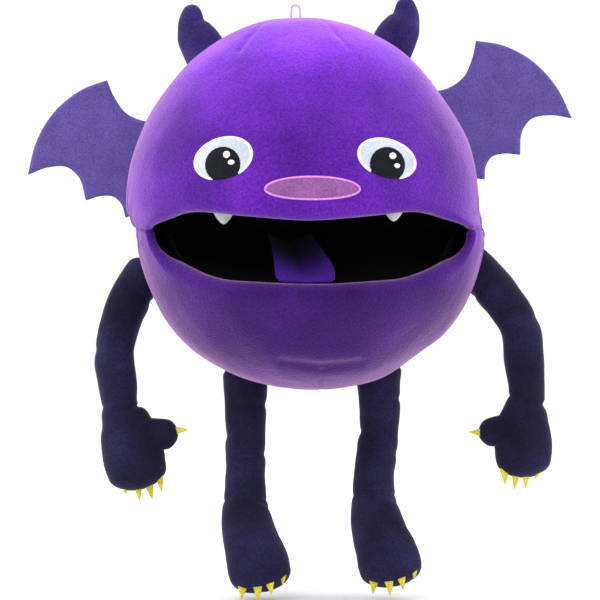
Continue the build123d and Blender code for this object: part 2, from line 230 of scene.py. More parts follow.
def lip_height(points, upper):
    """Height of the mouth's edge at points: both lips meet before the corners, and behind them."""
    ahead = np.clip(HINGE.y - points[..., 1], 0, None)
    x = np.abs(points[..., 0])
    fade = smoothstep(ahead / (25 * MM))
    pinch = HINGE.z - PINCH_DROP * np.clip(ahead / PINCH_AHEAD, 0, 1)
    if upper:
        wave = ridge(x - 68 * MM, 3.2, 20) + ridge(x, -3.9, 32)
    else:
        wave = ridge(x - 58 * MM, -3.4, 22) - 3.3 * MM
    lip = HINGE.z - ahead * math.tan(UPPER_LIP if upper else LOWER_LIP) + fade * wave
    end = np.clip((x - PINCH_FROM[upper]) / PINCH_RUN[upper], 0, 1)
    closed = np.maximum(1 - np.sqrt(1 - end ** 2), ahead < PINCH_AHEAD * 0.88)
    return lip + (pinch - lip) * closed


def lip_radius(points):
    """The lip is a fat roll in front, and thins to a seam at the corners and behind."""
    ahead = (HINGE.y + 14 * MM - points[..., 1]) / (46 * MM)
    corner = smoothstep((np.abs(points[..., 0]) - 80 * MM) / (15 * MM))
    fat = LIP_R + (CORNER_R - LIP_R) * corner
    return SEAM_R + (fat - SEAM_R) * smoothstep(ahead)


def edge_latitude(lon, upper):
    """The latitude where the ball's skin turns into the lip."""
    lat = np.zeros_like(lon)
    way = 1 if upper else -1
    for _ in range(40):
        point = sphere_point(lon, lat)
        level = lip_height(point, upper) + way * lip_radius(point)
        rise = np.clip((level - CENTRE.z) / BALL_H, -0.99, 0.99)
        lat = 0.5 * lat + 0.5 * np.arcsin(rise)
    return lat


def skin_grid(upper):
    """The skin's rows from a pole to the mouth's edge, then round the lip."""
    lon = np.linspace(-pi, pi, SKIN_COLUMNS, endpoint=False)
    edge = edge_latitude(lon, upper)
    pole = pi / 2 if upper else -pi / 2
    steps = np.linspace(0.006, 1, SKIN_ROWS[upper])[:, None]
    lat = pole + (edge[None] - pole) * steps
    plain = sphere_point(lon[None] + 0 * lat, lat)
    normal = sphere_normal(plain)
    skin = plain + normal * relief(plain)[..., None]
    last = skin[-1]
    out = normal[-1]
    down = np.cross(np.stack([np.cos(lon), np.sin(lon), 0 * lon], -1), out)
    down *= np.sign(down[:, 2:]) * (-1 if upper else 1)
    radius = lip_radius(plain[-1])[:, None]
    rows = []
    for turn in np.linspace(0, LIP_TURN, 16)[1:]:
        rows.append(last - out * radius + radius * (out * cos(turn) + down * sin(turn)))
    return sway(np.concatenate([skin, np.array(rows)]))


# ---------------------------------------------------------------- meshes


def grid_faces(rows, columns, closed=True):
    """Quads between a grid's rows; a closed grid joins its last column to its first."""
    faces = []
    for row in range(rows - 1):
        for column in range(columns if closed else columns - 1):
            beside = (column + 1) % columns
            near = row * columns
            far = near + columns
            faces.append((near + column, far + column, far + beside, near + beside))
    return faces


def fan_faces(tip, start, columns):
    return [(tip, start + column, start + (column + 1) % columns) for column in range(columns)]


def mesh_piece(name, points, faces, paint):
    """A smooth mesh object with its faces turned outwards."""
    mesh = bpy.data.meshes.new(name)
    mesh.from_pydata(np.asarray(points, float).reshape(-1, 3).tolist(), [], faces)
    work = bmesh.new()
    work.from_mesh(mesh)
    bmesh.ops.recalc_face_normals(work, faces=work.faces)
    work.to_mesh(mesh)
    work.free()
    mesh.shade_smooth()
    mesh.materials.append(paint)
    piece = bpy.data.objects.new(name, mesh)
    scene.collection.objects.link(piece)
    return piece


def grid_piece(name, grid, paint, closed=True, caps=(False, False)):
    """A mesh over a grid of points, with a fan of faces over each capped end."""
    rows, columns = grid.shape[:2]
    points = grid.reshape(-1, 3).tolist()
    faces = grid_faces(rows, columns, closed)
    if caps[0]:
        faces += fan_faces(len(points), 0, columns)
        points.append(grid[0].mean(axis=0).tolist())
    if caps[1]:
        faces += fan_faces(len(points), (rows - 1) * columns, columns)
        points.append(grid[-1].mean(axis=0).tolist())
    return mesh_piece(name, points, faces, paint)


def drop_faces(piece, test):
    """Removes the faces whose middle passes the test, and their loose points."""
    work = bmesh.new()
    work.from_mesh(piece.data)
    gone = [face for face in work.faces if test(face.calc_center_median())]
    bmesh.ops.delete(work, geom=gone, context="FACES")
    loose = [vertex for vertex in work.verts if not vertex.link_faces]
    bmesh.ops.delete(work, geom=loose, context="VERTS")
    work.to_mesh(piece.data)
    work.free()


def through(stations, lengths=None, count=None):
    """A smooth curve through stations, whose first three values are a place."""
    stations = np.array(stations, float)
    gaps = np.linalg.norm(np.diff(stations[:, :3], axis=0), axis=1)
    knots = np.concatenate([[0], np.cumsum(gaps)])
    slopes = np.gradient(stations, knots, axis=0)
    at = np.linspace(0, knots[-1], count) if lengths is None else np.asarray(lengths)
    span = np.clip(np.searchsorted(knots, at, side="right") - 1, 0, len(knots) - 2)
    width = (knots[span + 1] - knots[span])[:, None]
    part = (at[:, None] - knots[span][:, None]) / width
    square = part ** 2
    cube = part ** 3
    return (
        (2 * cube - 3 * square + 1) * stations[span]
        + (cube - 2 * square + part) * width * slopes[span]
        + (3 * square - 2 * cube) * stations[span + 1]
        + (cube - square) * width * slopes[span + 1]
    )


def total_length(stations):
    places = np.array(stations, float)[:, :3]
    return float(np.linalg.norm(np.diff(places, axis=0), axis=1).sum())


def loft(stations, around, step, domes=(0.0, 0.0), side=(1, 0, 0), squareness=2.0):
    """Rings along a curve of stations (x, y, z, half width, half depth).

    Returns the rings, the outward directions, the length at each ring and the angles."""
    total = total_length(stations)
    quarter = np.linspace(0.1, pi / 2, 9)
    parts = []
    if domes[0]:
        parts.append(domes[0] * (1 - np.cos(quarter)))
    inner = np.arange(domes[0] + step / 2, total - domes[1], step)
    parts.append(inner)
    if domes[1]:
        parts.append(total - domes[1] * (1 - np.cos(quarter))[::-1])
    lengths = np.unique(np.concatenate(parts))
    path = through(stations, lengths)
    size = np.ones(len(lengths))
    if domes[0]:
        size *= np.sqrt(np.clip(1 - np.clip(1 - lengths / domes[0], 0, 1) ** 2, 0, 1))
    if domes[1]:
        left = (total - lengths) / domes[1]
        size *= np.sqrt(np.clip(1 - np.clip(1 - left, 0, 1) ** 2, 0, 1))
    tangent = np.gradient(path[:, :3], lengths, axis=0)
    tangent /= np.linalg.norm(tangent, axis=1, keepdims=True)
    across = np.array(side) - tangent * (tangent @ np.array(side))[:, None]
    across /= np.linalg.norm(across, axis=1, keepdims=True)
    deep = np.cross(tangent, across)
    angles = np.linspace(0, 2 * pi, around, endpoint=False)
    wide = np.sign(np.cos(angles)) * np.abs(np.cos(angles)) ** (2 / squareness)
    tall = np.sign(np.sin(angles)) * np.abs(np.sin(angles)) ** (2 / squareness)
    half_w = (path[:, 3] * size)[:, None, None]
    half_d = (path[:, 4] * size)[:, None, None]
    wide = wide[None, :, None]
    tall = tall[None, :, None]
    offset = across[:, None] * half_w * wide + deep[:, None] * half_d * tall
    outward = across[:, None] * wide / path[:, 3][:, None, None]
    outward = outward + deep[:, None] * tall / path[:, 4][:, None, None]
    outward /= np.linalg.norm(outward, axis=-1, keepdims=True)
    return path[:, None, :3] + offset, outward, lengths, angles


def station(place, half_w, half_d):
    return (place.x, place.y, place.z, half_w * MM, half_d * MM)


# ---------------------------------------------------------------- materials


def linear(red, green, blue):
    """A colour given as 0 to 255 in sRGB, as Blender's linear values."""
    parts = []
    for value in (red, green, blue):
        share = value / 255
        parts.append(share / 12.92 if share <= 0.04045 else ((share + 0.055) / 1.055) ** 2.4)
    return (*parts, 1.0)


class Paint:
    """A procedural material made around one Principled shader."""

    def __init__(self, name, roughness):
        self.material = bpy.data.materials.new(name)
        self.material.use_nodes = True
        self.tree = self.material.node_tree
        self.shader = self.tree.nodes["Principled BSDF"]
        self.shader.inputs["Roughness"].default_value = roughness
        self.place = self.tree.nodes.new("ShaderNodeTexCoord").outputs["Object"]

    def link(self, output, target):
        self.tree.links.new(output, target)

    def fill(self, node, values):
        """Sets or links each (socket, value) of a node."""
        for socket, value in values:
            if hasattr(value, "is_output"):
                self.link(value, node.inputs[socket])
            else:
                node.inputs[socket].default_value = value

    def grain(self, size, detail=2.0, stretch=None):
        """Noise with spots of about the given size."""
        node = self.tree.nodes.new("ShaderNodeTexNoise")
        node.inputs["Scale"].default_value = 1 / size
        node.inputs["Detail"].default_value = detail
        source = self.place
        if stretch:
            mapping = self.tree.nodes.new("ShaderNodeMapping")
            mapping.inputs["Scale"].default_value = stretch
            self.link(self.place, mapping.inputs["Vector"])
            source = mapping.outputs["Vector"]
        self.link(source, node.inputs["Vector"])
        return node.outputs["Fac"]

    def ramp(self, value, stops):
        node = self.tree.nodes.new("ShaderNodeValToRGB")
        elements = node.color_ramp.elements
        elements[0].position, elements[0].color = stops[0]
        elements[1].position, elements[1].color = stops[-1]
        for position, colour in stops[1:-1]:
            elements.new(position).color = colour
        self.link(value, node.inputs["Fac"])
        return node.outputs["Color"]

    def mix(self, share, one, other, kind="MIX"):
        node = self.tree.nodes.new("ShaderNodeMix")
        node.data_type = "RGBA"
        node.blend_type = kind
        self.fill(node, ((0, share), (6, one), (7, other)))
        return node.outputs[2]

    def maths(self, kind, one, other):
        node = self.tree.nodes.new("ShaderNodeMath")
        node.operation = kind
        self.fill(node, ((0, one), (1, other)))
        return node.outputs[0]

    def bump(self, height, depth, strength=1.0, before=None):
        node = self.tree.nodes.new("ShaderNodeBump")
        node.inputs["Strength"].default_value = strength
        node.inputs["Distance"].default_value = depth
        self.link(height, node.inputs["Height"])
        if before:
            self.link(before, node.inputs["Normal"])
        return node.outputs["Normal"]

    def sheen(self, weight, roughness, tint):
        self.shader.inputs["Sheen Weight"].default_value = weight
        self.shader.inputs["Sheen Roughness"].default_value = roughness
        self.shader.inputs["Sheen Tint"].default_value = tint

    def finish(self, colour, normal=None):
        self.link(colour, self.shader.inputs["Base Color"])
        if normal:
            self.link(normal, self.shader.inputs["Normal"])
        return self.material


def axis_share(paint, axis, low, high):
    """0 at one place along an axis, 1 at another."""
    split = paint.tree.nodes.new("ShaderNodeSeparateXYZ")
    paint.link(paint.place, split.inputs[0])
    span = paint.tree.nodes.new("ShaderNodeMapRange")
    span.inputs["From Min"].default_value = low
    span.inputs["From Max"].default_value = high
    paint.link(split.outputs[axis], span.inputs["Value"])
    return span.outputs["Result"]


def grey(value):
    return (value, value, value, 1)


def plush(name, dark, mid, light, tint, weight, patch=34 * MM):
    """Short pile plush: brushed patches, fine tufts and a soft sheen."""
    paint = Paint(name, 0.9)
    paint.shader.inputs["Specular IOR Level"].default_value = 0.15
    brushed = paint.ramp(
        paint.grain(patch, 2.5), [(0.3, linear(*dark)), (0.5, linear(*mid)), (0.74, linear(*light))]
    )
    tips = [(0.32, (0.6, 0.58, 0.64, 1)), (0.68, (1.3, 1.32, 1.24, 1))]
    colour = paint.mix(1.0, brushed, paint.ramp(paint.grain(1.3 * MM, 3), tips), "MULTIPLY")
    paint.sheen(weight, 0.38, tint)
    soft = paint.bump(paint.grain(13 * MM, 1), 1.2 * MM, 0.3)
    tufts = paint.bump(paint.grain(1.3 * MM, 3), 0.5 * MM, 0.8, soft)
    return paint, colour, tufts


# painted light and shade on the violet pile, by height from the ball's bottom to its top: dark under the chin
# and mouth, bright at the top
PAINTED_LIGHT_BY_HEIGHT = ((0.0, 0.3), (0.26, 0.24), (0.36, 0.5), (0.46, 0.72), (0.64, 0.66), (0.8, 0.92), (0.96, 1.6))
# how dark the painted shade on the tongue is, from its root deep in the mouth to its front
TONGUE_PAINTED_SHADE = ((0.1, 0.02), (0.45, 0.3), (0.75, 1.0))


def violet_plush():
    dark, mid, light = (80, 20, 150), (96, 28, 172), (118, 42, 198)
    paint, colour, normal = plush("violet_plush", dark, mid, light, (1.0, 0.58, 1.0, 1.0), 0.62, 48 * MM)
    # painted shade and light: the plush is darkened low down and brightened at the top, by height
    share = axis_share(paint, "Z", CENTRE.z - BALL_H, CENTRE.z + BALL_H)
    shade = paint.ramp(share, [(place, grey(tone)) for place, tone in PAINTED_LIGHT_BY_HEIGHT])
    return paint.finish(paint.mix(1.0, colour, shade, "MULTIPLY"), normal)


def dark_plush(name, dark, mid, light):
    paint, colour, normal = plush(name, dark, mid, light, (0.72, 0.66, 1.0, 1.0), 0.16)
    return paint.finish(colour, normal)


def felt(name, dark, light, fleck=1.1 * MM, sheen_weight=0.12, shade=None):
    """Pressed felt: flecks of two shades and a faint fibre relief."""
    paint = Paint(name, 0.95)
    paint.shader.inputs["Specular IOR Level"].default_value = 0.2
    flecks = paint.ramp(paint.grain(fleck, 4), [(0.38, linear(*dark)), (0.62, linear(*light))])
    cloud = paint.ramp(paint.grain(14 * MM, 2), [(0.35, grey(0.88)), (0.65, grey(1.08))])
    colour = paint.mix(1.0, flecks, cloud, "MULTIPLY")
    paint.sheen(sheen_weight, 0.5, (1, 1, 1, 1))
    fibres = paint.grain(0.9 * MM, 4, (1.0, 1.0, 2.4))
    if shade:
        colour = paint.mix(1.0, colour, shade(paint), "MULTIPLY")
    return paint.finish(colour, paint.bump(fibres, 0.3 * MM, 0.8))


def root_shade(paint):
    """Painted shade: the tongue's felt darkens towards its root, deep in the mouth."""
    low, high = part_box("tongue")
    share = axis_share(paint, "Y", high.y, low.y)
    return paint.ramp(share, [(place, grey(tone)) for place, tone in TONGUE_PAINTED_SHADE])


def satin(name, dark, light):
    """Glossy embroidery thread."""
    paint = Paint(name, 0.38)
    colour = paint.ramp(paint.grain(0.5 * MM, 1), [(0.3, linear(*dark)), (0.7, linear(*light))])
    paint.sheen(0.3, 0.3, (1, 1, 1, 1))
    return paint.finish(colour, paint.bump(paint.grain(0.35 * MM, 2), 0.1 * MM, 0.6))


def cloth(name, dark, light, size=0.8 * MM):
    """Plain woven lining."""
    paint = Paint(name, 0.95)
    paint.shader.inputs["Specular IOR Level"].default_value = 0.05
    colour = paint.ramp(paint.grain(size, 2), [(0.35, linear(*dark)), (0.65, linear(*light))])
    waves = []
    for direction in ("X", "Y"):
        wave = paint.tree.nodes.new("ShaderNodeTexWave")
        wave.bands_direction = direction
        wave.inputs["Scale"].default_value = 0.3 / size
        wave.inputs["Distortion"].default_value = 0.6
        paint.link(paint.place, wave.inputs["Vector"])
        waves.append(wave.outputs["Fac"])
    weave = paint.maths("MULTIPLY", *waves)
    return paint.finish(colour, paint.bump(weave, 0.2 * MM, 0.5))


VIOLET = violet_plush()
LIMB_PLUSH = dark_plush("limb_plush", (17, 14, 36), (27, 23, 54), (40, 35, 74))
HORN_PLUSH = dark_plush("horn_plush", (34, 24, 70), (48, 34, 94), (74, 60, 124))
WING_FELT = felt("wing_felt", (82, 66, 132), (100, 84, 156), fleck=0.9 * MM)
NOSE_FELT = felt("nose_felt", (124, 72, 134), (146, 92, 154), fleck=0.9 * MM)
EYE_FELT = felt("eye_felt", (178, 184, 198), (192, 198, 210))
PUPIL_FELT = felt("pupil_felt", (8, 9, 14), (20, 23, 30), fleck=0.8 * MM, sheen_weight=0.02)
TONGUE_FELT = felt("tongue_felt", (48, 10, 116), (66, 18, 140), sheen_weight=0.02, shade=root_shade)
FANG_FELT = felt("fang_felt", (176, 178, 174), (200, 202, 196), fleck=0.7 * MM)
CLAW_FELT = felt("claw_felt", (186, 172, 34), (222, 208, 72), fleck=0.8 * MM)
WHITE_SATIN = satin("white_satin", (222, 226, 232), (246, 247, 250))
PINK_SATIN = satin("pink_satin", (198, 110, 196), (236, 164, 232))
LOOP_CORD = satin("loop_cord", (196, 150, 204), (236, 200, 238))
# the mouth's lining: black cloth, made darker than real cloth as painted shade for the deep mouth
MOUTH_CLOTH_AND_SHADE = cloth("mouth_cloth", (2.636, 2.965, 3.954), (9.884, 10.537, 12.931))
CAVITY_CLOTH = cloth("cavity_cloth", (16, 15, 22), (34, 32, 44))
CUFF_CLOTH = cloth("cuff_cloth", (40, 30, 76), (62, 50, 104), 1.2 * MM)


# ---------------------------------------------------------------- head and jaw


def at_opening(middle):
    return middle.y > CENTRE.y and middle.x ** 2 + middle.z ** 2 < OPENING_R ** 2


def jaw_blend(piece):
    """Bakes a jaw piece's placement into its mesh."""
    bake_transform(piece)


UPPER_GRID = skin_grid(True)
LOWER_GRID = skin_grid(False)


def body_skins():
    head = grid_piece("head_skin", UPPER_GRID, VIOLET, caps=(True, False))
    jaw = grid_piece("jaw_skin", LOWER_GRID, VIOLET, caps=(True, False))
    tree = BVHTree.FromObject(head, bpy.context.evaluated_depsgraph_get())
    drop_faces(head, at_opening)
    drop_faces(jaw, at_opening)
    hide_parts("face_panel", "nape_panel", "rear_panel", "head_wadding", "rear_wadding")
    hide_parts("chin_panel", "jaw_wadding", "belly_gusset")
    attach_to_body(head, "head")
    jaw_blend(jaw)
    return tree


def palate_grid(upper, attach, fold_end):
    """Mouth cloth from the lip's inner side back to the hinge and round the fold."""
    grid = UPPER_GRID if upper else LOWER_GRID
    edge = grid[attach]
    front = edge[edge[:, 1] < HINGE.y - PINCH_AHEAD + 6 * MM]
    order = np.argsort(front[:, 0])
    front = front[order]
    fold_r = 3.5 * MM
    tilt = UPPER_LIP if upper else LOWER_LIP
    way = 1 if upper else -1
    back = front.copy()
    back[:, 1] = HINGE.y + way * sin(tilt) * -fold_r
    back[:, 2] = HINGE.z + way * cos(tilt) * fold_r
    back[:, 0] *= 0.985
    rows = []
    for share in np.linspace(0, 1, 40):
        row = front + (back - front) * share
        row[:, 2] += way * (6.0 if upper else 2.5) * MM * sin(pi * share)
        rows.append(row)
    start = math.atan2(back[0, 2] - HINGE.z, back[0, 1] - HINGE.y)
    for turn in np.linspace(start, fold_end, 12)[1:]:
        row = back.copy()
        row[:, 1] = HINGE.y + fold_r * cos(turn)
        row[:, 2] = HINGE.z + fold_r * sin(turn)
        rows.append(row)
    return np.array(rows)


def mouth_cloths():
    upper = palate_grid(True, -4, radians(-80))
    lower = palate_grid(False, -4, radians(-67.5))
    roof = grid_piece("palate_cloth_upper", upper, MOUTH_CLOTH_AND_SHADE, closed=False)
    floor = grid_piece("palate_cloth_lower", lower[:40], MOUTH_CLOTH_AND_SHADE, closed=False)
    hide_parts("palate_lining_upper", "palate_board_upper", "mouth_fold")
    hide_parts("palate_lining_lower", "palate_board_lower")
    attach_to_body(roof, "head")
    jaw_blend(floor)


BAG_INSET = 16 * MM
# share of a pocket's depth and size there, from its mouth to its closed end
POCKET_LINE = ((1.0, 1.0), (0.6, 0.98), (0.0, 0.9), (-0.6, 0.84), (-1.0, 0.66))


def cavity_bag():
    """The lining of the hollow that takes the hand, open towards the cuff."""
    for name, upper in (("cavity_bag_upper", True), ("cavity_bag_lower", False)):
        grid = UPPER_GRID if upper else LOWER_GRID
        plain = grid[:SKIN_ROWS[upper]:3, ::3]
        inner = plain - sphere_normal(plain) * BAG_INSET
        inner += sphere_normal(plain) * 0.8 * MM * noise_of(inner, 14 * MM, 5.5)[..., None]
        bag = grid_piece(name, inner, CAVITY_CLOTH, caps=(True, False))
        drop_faces(bag, at_opening)
        if upper:
            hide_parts("cavity_lining")
            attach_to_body(bag, "head")
        else:
            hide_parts("jaw_lining")
            jaw_blend(bag)


def pocket(name, node, body):
    """A soft sleeve, closed in front and open behind."""
    low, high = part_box(node)
    middle = (low + high) / 2
    half = (high - low) / 2
    stations = []
    for share, size in POCKET_LINE:
        y = middle.y + share * half.y
        stations.append((middle.x, y, middle.z, half.x * size, half.z * 0.45 * size))
    rings, outward, _, _ = loft(stations, 64, 2 * MM, (0, 12 * MM), squareness=2.6)
    rings = rings + outward * 0.7 * MM * noise_of(rings, 11 * MM, 2.2)[..., None]
    inner = rings[::-1] - outward[::-1] * 1.2 * MM
    both = np.concatenate([inner, rings])
    sleeve = grid_piece(name, both, CAVITY_CLOTH, caps=(True, True))
    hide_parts(node)
    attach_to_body(sleeve, body)


def ball_back(x, z):
    """How far back the plain ball reaches over a place on its rear view."""
    rise = (z - CENTRE.z) / BALL_H
    power = LOWER_POWER if rise < 0 else UPPER_POWER
    ring = BALL_R * (1 - abs(rise) ** power) ** (1 / power)
    return CENTRE.y + sqrt(max(ring ** 2 - x ** 2, 0))


def cuff():
    """The bound, gathered cuff round the hand's opening."""
    low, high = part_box("hand_cuff")
    outer = (high.x - low.x) / 2
    inner = outer - 3 * MM
    deep = low.y
    rows = []
    for turn in np.linspace(0, 2 * pi, 288, endpoint=False):
        gather = 0.35 * MM * sin(turn * 44) + 0.2 * MM * sin(turn * 17 + 1)
        skin_y = ball_back(OPENING_R * cos(turn), OPENING_R * sin(turn))
        rim = max(high.y, skin_y - 4 * MM)
        profile = [(OPENING_R + 2.2 * MM, skin_y - 2.5 * MM), (OPENING_R + 2.4 * MM, skin_y + 0.4 * MM)]
        profile += [(OPENING_R + 1.0 * MM, skin_y + 1.8 * MM), (outer + 0.2 * MM, skin_y + 0.8 * MM)]
        profile += [(outer, skin_y - 1.5 * MM), (outer, rim - 1.5 * MM), (outer - 0.7 * MM, rim)]
        profile += [(inner + 0.7 * MM, rim), (inner, rim - 1.5 * MM)]
        profile += [(inner, (rim + deep) / 2), (inner, deep)]
        line = through([(r, y, 0) for r, y in profile], count=40)
        ring = [((r + gather) * cos(turn), y, (r + gather) * sin(turn)) for r, y, _ in line]
        rows.append(ring)
    grid = np.array(rows).transpose(1, 0, 2)
    binding = grid_piece("cuff_binding", grid, CUFF_CLOTH)
    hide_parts("hand_cuff")
    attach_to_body(binding, "head")


# ---------------------------------------------------------------- face


class Face:
    """Patches that lie on the face's skin."""

    def __init__(self, tree):
        self.tree = tree

    def spot(self, x, z):
        """The skin's point and outward direction at a place on the front view."""
        start = Vector((x, CENTRE.y - 2 * BALL_R, z))
        place, normal, _, _ = self.tree.ray_cast(start, Vector((0, 1, 0)))
        plain = Vector(sphere_normal(np.array(place)))
        if normal.dot(plain) < 0:
            normal = -normal
        return place, (normal + plain * 3).normalized()

    def raised(self, x, z, height):
        place, normal = self.spot(x, z)
        return place + normal * height

    def disc(self, name, middle, outline, profile, paint, slot):
        """A patch whose rings shrink from an outline to its middle.

        profile lists (share of the way out, height over the skin)."""
        rings = []
        for share, height in profile:
            places = middle + (np.array(outline) - middle) * share
            rings.append([tuple(self.raised(x, z, height)) for x, z in places])
        patch = grid_piece(name, np.array(rings), paint, caps=(True, False))
        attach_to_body(patch, "head")
        return patch

    def stitched_rim(self, name, outline, width, height, pitch, paint, slot, shown=None):
        """A satin stitched edge: ridges across a rounded band along an outline."""
        line = np.array(outline)
        ahead = np.roll(line, -1, axis=0) - np.roll(line, 1, axis=0)
        ahead /= np.linalg.norm(ahead, axis=1, keepdims=True)
        inward = np.stack([-ahead[:, 1], ahead[:, 0]], -1)
        centre = line.mean(axis=0)
        if ((centre - line) * inward).sum() < 0:
            inward = -inward
        step = np.linalg.norm(line - np.roll(line, 1, axis=0), axis=1)
        run = np.cumsum(step)
        rings = []
        for share in np.linspace(0, 1, 9):
            ring = []
            for number in range(len(line)):
                ridge = 0.5 + 0.5 * cos(2 * pi * (run[number] / pitch + share * 0.35))
                keep = 1.0 if shown is None else shown[number]
                lift = height * sin(pi * share) ** 0.6 * (0.62 + 0.38 * ridge) * keep
                lift -= 0.5 * MM * (1 - keep) + 0.15 * MM
                inset = (share - 0.5) * width
                place = line[number] + inward[number] * inset
                ring.append(tuple(self.raised(*place, lift)))
            rings.append(ring)
        rim = grid_piece(name, np.array(rings), paint)
        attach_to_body(rim, "head")
        return rim


# share of the way out and height over the skin
PATCH_PROFILE = ((0.04, 0.55), (0.3, 0.55), (0.6, 0.52), (0.85, 0.45), (0.97, 0.3), (1.0, -0.4))
PATCH_PROFILE = [(share, height * MM) for share, height in PATCH_PROFILE]
PUPIL_PROFILE = [(share, height + 0.45 * MM) for share, height in PATCH_PROFILE[:-1]] + [(1.0, 0.1 * MM)]
GLINT_PROFILE = ((0.05, 1.55 * MM), (0.4, 1.5 * MM), (0.75, 1.35 * MM), (1.0, 0.8 * MM))
EYE_TILT = radians(15)
EYE_SHIFT = np.array([-0.7 * MM, -1.0 * MM])
EYE_TALL = {"left": 1.0, "right": 0.94}
OUTLINE_POINTS = 1440
# right, up, half width and half height of each glint, from the pupil's middle
GLINTS = {
    "left": ((2.4, 5.4, 2.1, 2.1), (5.0, 1.0, 2.0, 1.5)),
    "right": ((2.8, 4.9, 2.1, 2.0), (5.2, -0.6, 1.8, 1.4)),
}


def box_sizes(node):
    """Half width, half height and middle of a node's box on the front view."""
    low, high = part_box(node)
    return (high.x - low.x) / 2, (high.z - low.z) / 2, np.array([(low.x + high.x) / 2, (low.z + high.z) / 2])


def turned(points, angle):
    """Points of the front view, turned about its origin."""
    along, over = np.moveaxis(np.asarray(points), -1, 0)
    return np.stack([along * cos(angle) - over * sin(angle), along * sin(angle) + over * cos(angle)], -1)


def eye(face, name, side):
    """A felt eye with a stitched edge, and a pupil cut off by the lower lid."""
    wide, tall, middle = box_sizes(f"eye_white_{name}")
    middle = middle + EYE_SHIFT
    tall *= EYE_TALL[name]
    total = wide ** 2 + tall ** 2
    spread = (wide ** 2 - tall ** 2) / cos(2 * EYE_TILT)
    halves = np.array([sqrt((total + spread) / 2), sqrt((total - spread) / 2)])
    tilt = -side * EYE_TILT
    turns = np.linspace(0, 2 * pi, OUTLINE_POINTS, endpoint=False)
    outline = turned(halves * np.stack([np.cos(turns), np.sin(turns)], -1), tilt) + middle
    pupil_r, half_tall, pupil_middle = box_sizes(f"pupil_{name}")
    pupil_middle = pupil_middle + np.array([0, half_tall - pupil_r]) + EYE_SHIFT
    covered = np.linalg.norm(outline - pupil_middle, axis=1)
    shown = smoothstep((covered - pupil_r + 0.2 * MM) / (0.8 * MM))
    white = face.disc(f"eye_felt_{name}", middle, outline[::8], PATCH_PROFILE, EYE_FELT, "eye_felt")
    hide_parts(f"eye_white_{name}")
    border = middle + (outline - middle) * 0.955
    stitches = (2.0 * MM, 1.1 * MM, 0.52 * MM)
    face.stitched_rim(f"eye_stitching_{name}", border, *stitches, WHITE_SATIN, "eye_felt", shown)
    pupil_outline = []
    for turn in np.linspace(0, 2 * pi, 180, endpoint=False):
        ragged = 1 + 0.006 * sin(turn * 23) + 0.004 * sin(turn * 41)
        local = pupil_middle + pupil_r * np.array([cos(turn), sin(turn)]) * ragged - middle
        reach = np.linalg.norm(turned(local, -tilt) / halves)
        pupil_outline.append(middle + local / max(reach, 1))
    pupil = face.disc(
        f"pupil_felt_{name}", pupil_middle, pupil_outline, PUPIL_PROFILE, PUPIL_FELT, "pupil_felt"
    )
    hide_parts(f"pupil_{name}")
    for number, (across, up, half_w, half_h) in enumerate(GLINTS[name]):
        spot = pupil_middle + np.array([across, up]) * MM
        turns = np.linspace(0, 2 * pi, 48, endpoint=False)
        ring = spot + np.stack([half_w * np.cos(turns), half_h * np.sin(turns)], -1) * MM
        glint = face.disc(f"glint_{name}_{number}", spot, ring, GLINT_PROFILE, WHITE_SATIN, "eye_felt")
        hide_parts("eye_glints")


def nose(face):
    """A felt nose patch with an arched top, a flatter bottom and a stitched rim."""
    wide, tall, middle = box_sizes("nose_rim")
    middle[1] -= 0.2 * tall
    wide *= 0.94
    up = 0.84 * tall
    down = 0.688 * tall
    turns = np.linspace(0, 2 * pi, OUTLINE_POINTS, endpoint=False)
    rise = np.sin(turns)
    across = np.sign(np.cos(turns)) * np.abs(np.cos(turns)) ** 0.94
    outline = np.stack([wide * across, np.where(rise > 0, up, down) * rise], -1) + middle
    felt_patch = face.disc("nose_felt_patch", middle, outline[::8], PATCH_PROFILE, NOSE_FELT, "nose_felt")
    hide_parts("nose_patch")
    border = middle + (outline - middle) * np.array([0.978, 0.92])
    stitches = (1.5 * MM, 1.0 * MM, 0.55 * MM)
    rim = face.stitched_rim("nose_stitching", border, *stitches, PINK_SATIN, "nose_thread")
    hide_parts("nose_rim")


def plate(name, outline, thickness, place, paint, step=0.9 * MM, bulge=0.0):
    """A flat felt piece cut to an outline, its edges slightly rounded.

    outline is a list of (u, v); place(u, v, w) gives the point at depth w."""
    outline = np.array(outline)
    low = outline.min(axis=0)
    high = outline.max(axis=0)
    inner = []
    for u in np.arange(low[0] + step / 2, high[0], step):
        for v in np.arange(low[1] + step / 2, high[1], step):
            if inside(u, v, outline) and edge_gap(u, v, outline) > step * 0.6:
                inner.append((u, v))
    points = [Vector(p) for p in outline.tolist() + inner]
    edges = [(i, (i + 1) % len(outline)) for i in range(len(outline))]
    flat, _, faces, _, _, _ = delaunay_2d_cdt(points, edges, [], 1, 1e-7)
    count = len(flat)
    rim = len(outline)
    gaps = np.array([min(edge_gap(p.x, p.y, outline) / thickness, 1) for p in flat])
    half = thickness / 2 * (0.55 + 0.45 * np.sqrt(gaps)) + bulge * gaps
    made = [place(p.x, p.y, h) for p, h in zip(flat, half)]
    made += [place(p.x, p.y, -h) for p, h in zip(flat, half)]
    sheets = [tuple(face) for face in faces] + [tuple(i + count for i in reversed(face)) for face in faces]
    ring = {}
    for face in faces:
        for one, two in zip(face, list(face[1:]) + [face[0]]):
            key = (min(one, two), max(one, two))
            ring[key] = ring.get(key, 0) + 1
    walls = [(one, two, two + count, one + count) for (one, two), used in ring.items() if used == 1]
    return mesh_piece(name, [tuple(p) for p in made], sheets + walls, paint)


def inside(u, v, outline):
    crossings = 0
    for (u1, v1), (u2, v2) in zip(outline, np.roll(outline, -1, axis=0)):
        if (v1 > v) != (v2 > v) and u < (u2 - u1) * (v - v1) / (v2 - v1) + u1:
            crossings += 1
    return crossings % 2 == 1


